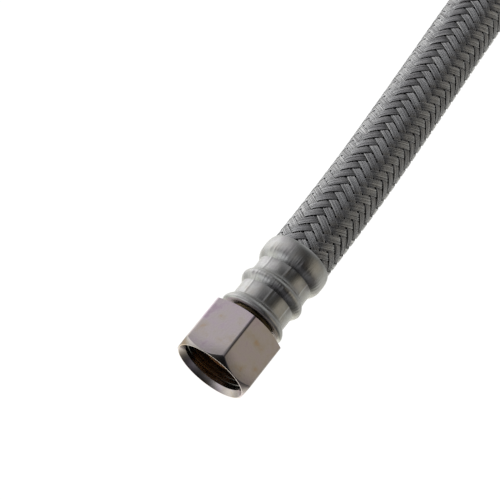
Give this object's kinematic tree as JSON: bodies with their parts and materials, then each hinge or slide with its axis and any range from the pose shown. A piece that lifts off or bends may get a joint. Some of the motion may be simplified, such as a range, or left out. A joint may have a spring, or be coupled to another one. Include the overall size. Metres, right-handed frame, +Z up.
{
  "type": "braided supply line",
  "caption": "Short wire-braided water supply hose with a swivelling hexagonal coupling nut, cone washer and crimped ferrule at each end.",
  "frame": {"origin": "on the inlet nut's axis, where its full thread starts behind the countersunk mouth", "axes": "+X runs from the inlet nut along the hose, +Z is up, and the line lies on a surface 8.7 mm below the axis"},
  "size_m": [0.3051, 0.0396, 0.0174],
  "materials": {
    "plated_nut": "yellow-iridescent zinc plating, satin",
    "washer_rubber": "matt orange-brown rubber",
    "ring_plastic": "matt natural nylon",
    "stem_brass": "turned brass",
    "ferrule_steel": "pressed stainless steel, satin",
    "tube_rubber": "matt dark rubber",
    "braid_steel": "woven stainless wire"
  },
  "bodies": {
    "line": {"inner_tube": "tube_rubber", "braid_sleeve": "braid_steel", "inlet_stem": "stem_brass", "inlet_cone_washer": "washer_rubber", "inlet_ferrule": "ferrule_steel", "outlet_stem": "stem_brass", "outlet_cone_washer": "washer_rubber", "outlet_ferrule": "ferrule_steel"},
    "inlet_slider": {"inlet_friction_ring": "ring_plastic"},
    "inlet_swivel": {"inlet_nut": "plated_nut"},
    "outlet_slider": {"outlet_friction_ring": "ring_plastic"},
    "outlet_swivel": {"outlet_nut": "plated_nut"}
  },
  "joints": [
    {"name": "inlet_nut_slide", "type": "slide", "parent": "line", "child": "inlet_slider", "axis": [1, 0, 0], "range_m": [0, 0.0012]},
    {"name": "inlet_nut_turn", "type": "hinge", "parent": "inlet_slider", "child": "inlet_swivel", "pos_m": [0.005, 0, 0], "axis": [1, 0, 0], "continuous": true},
    {"name": "outlet_nut_slide", "type": "slide", "parent": "line", "child": "outlet_slider", "axis": [-0.9929, -0.1191, 0], "range_m": [0, 0.0012]},
    {"name": "outlet_nut_turn", "type": "hinge", "parent": "outlet_slider", "child": "outlet_swivel", "pos_m": [0.30199, 0.02213, 0], "axis": [-0.9929, -0.1191, 0], "continuous": true}
  ]
}
